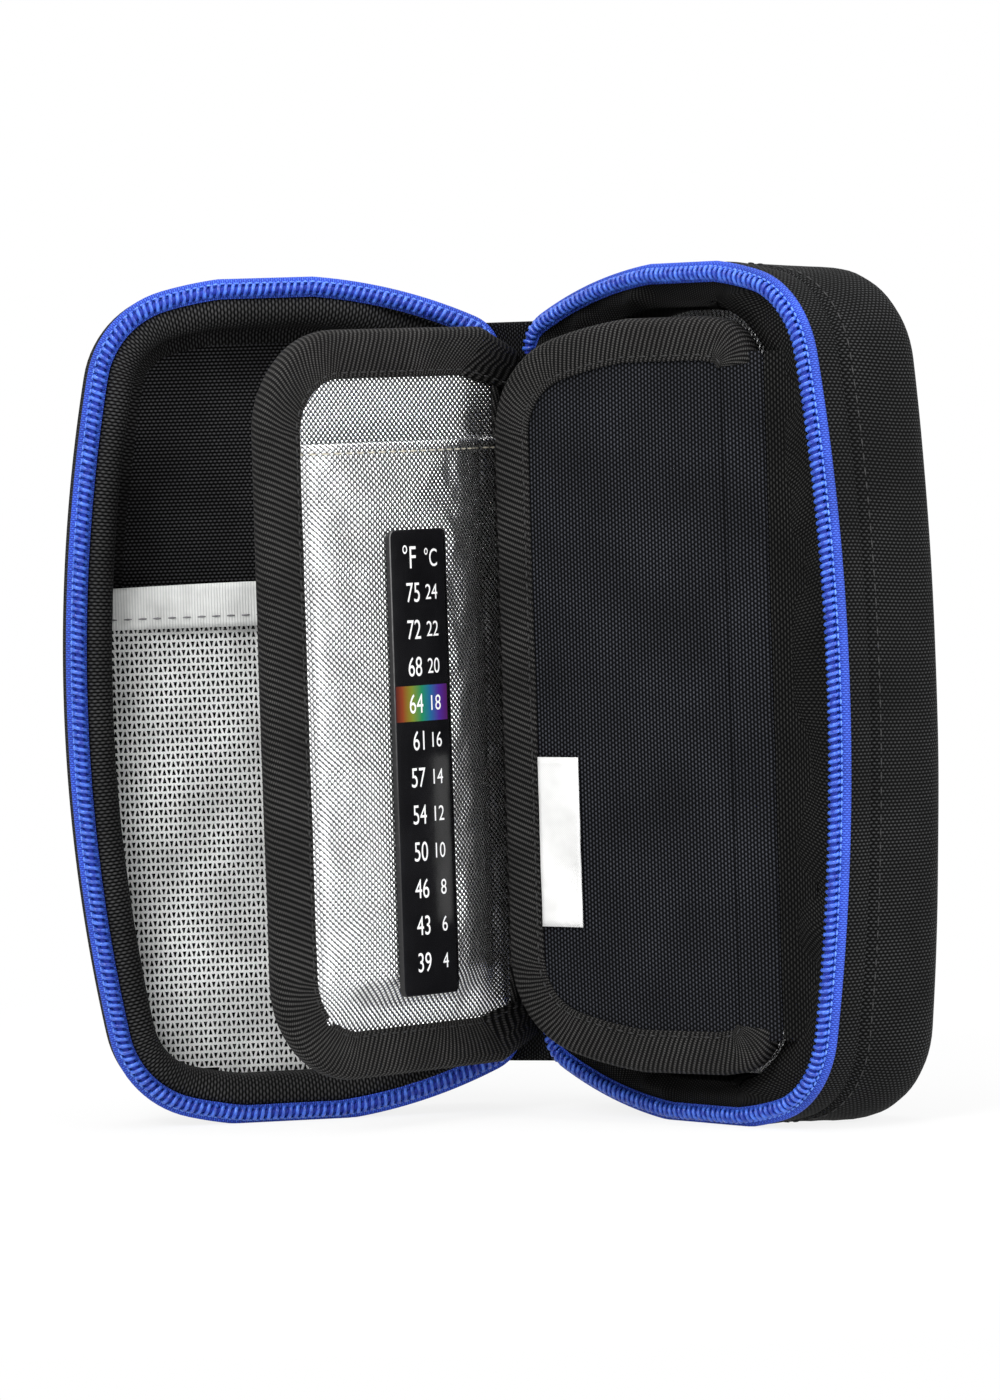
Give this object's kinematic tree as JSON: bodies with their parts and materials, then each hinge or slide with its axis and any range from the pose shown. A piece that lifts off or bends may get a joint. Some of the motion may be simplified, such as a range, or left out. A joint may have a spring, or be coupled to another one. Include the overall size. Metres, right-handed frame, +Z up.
{
  "type": "insulin cooling case",
  "caption": "Soft zip case that opens like a book: padded compartment under a flap, lid with mesh pocket, foil page with gel pack and thermometer strip.",
  "frame": {"origin": "centre of the bounding box at the surface that the open case stands on", "axes": "+Z up along the spine, the compartment opens towards -Y, its back faces +Y, the body lies towards +X and the lid towards -X and -Y"},
  "size_m": [0.1872, 0.1352, 0.2058],
  "materials": {
    "black_fabric": "woven oxford cloth",
    "foam": "closed-cell foam",
    "blue_zip": "woven tape and nylon coil",
    "silver_foil": "aluminised film on cloth",
    "grey_mesh": "knitted mesh and elastic",
    "white_tape": "woven label tape, blank",
    "gel": "clear pouch of gel",
    "strip_card": "glossy printed film",
    "dark_metal": "black enamel"
  },
  "bodies": {
    "body": {"body_back_panel": "black_fabric", "body_side_wall": "black_fabric", "body_zip_gusset": "black_fabric", "body_zip_tape": "blue_zip", "body_zip_coil": "blue_zip", "body_spine_strip": "black_fabric", "body_foam": "foam", "body_foil_lining": "silver_foil", "body_lip_facing": "black_fabric", "spine_piping": "black_fabric", "pen_loop_band_upper": "black_fabric", "pen_loop_band_lower": "black_fabric"},
    "lid": {"lid_front_panel": "black_fabric", "lid_side_wall": "black_fabric", "lid_zip_tape": "blue_zip", "lid_zip_coil": "blue_zip", "lid_spine_strip": "black_fabric", "lid_foam": "foam", "lid_lining": "black_fabric", "mesh_pocket": "grey_mesh", "mesh_pocket_band": "grey_mesh", "zip_slider_upper": "dark_metal", "zip_slider_lower": "dark_metal"},
    "upper_tab": {"pull_tab_upper": "dark_metal"},
    "lower_tab": {"pull_tab_lower": "dark_metal"},
    "page": {"page_core": "foam", "page_back_cover": "black_fabric", "page_foil_face": "silver_foil", "page_binding": "black_fabric", "page_hinge_tape": "black_fabric", "page_pocket": "silver_foil", "pocket_hem": "silver_foil", "thermometer_strip": "strip_card"},
    "pack": {"gel_pack": "gel"},
    "flap_root": {"flap_hinge_piping": "black_fabric"},
    "flap": {"flap_core": "foam", "flap_cover": "black_fabric", "flap_foil": "silver_foil", "flap_binding": "black_fabric", "label_tab": "white_tape"}
  },
  "joints": [
    {"name": "lid_hinge", "type": "hinge", "parent": "body", "child": "lid", "pos_m": [-0.01765, 0.02762, 0.1029], "axis": [0, 0, -1], "range_deg": [-121, 59]},
    {"name": "page_hinge", "type": "hinge", "parent": "body", "child": "page", "pos_m": [-0.01765, 0.02762, 0.1029], "axis": [0, 0, -1], "range_deg": [-83, 41]},
    {"name": "flap_press", "type": "hinge", "parent": "body", "child": "flap_root", "pos_m": [0.07035, 0.03062, 0.1029], "axis": [0, 0, 1], "range_deg": [-23.5, 12]},
    {"name": "flap_hinge", "type": "hinge", "parent": "flap_root", "child": "flap", "pos_m": [0.07035, 0.03062, 0.1029], "axis": [0, 0, 1], "range_deg": [0, 115]},
    {"name": "pack_slide", "type": "slide", "parent": "page", "child": "pack", "axis": [0, 0, 1], "range_m": [0, 0.14]},
    {"name": "upper_tab_hinge", "type": "hinge", "parent": "lid", "child": "upper_tab", "pos_m": [-0.0231, 0.0302, 0.1836], "axis": [-0.8572, 0.515, 0], "range_deg": [-30, 0]},
    {"name": "lower_tab_hinge", "type": "hinge", "parent": "lid", "child": "lower_tab", "pos_m": [-0.0231, 0.0302, 0.0272], "axis": [-0.8572, 0.515, 0], "range_deg": [-30, 0]}
  ],
  "couplings": [
    {"joint": "page_hinge", "follows": "lid_hinge", "ratio": 0.67769},
    {"joint": "flap_press", "follows": "lid_hinge", "ratio": 0.19008}
  ]
}
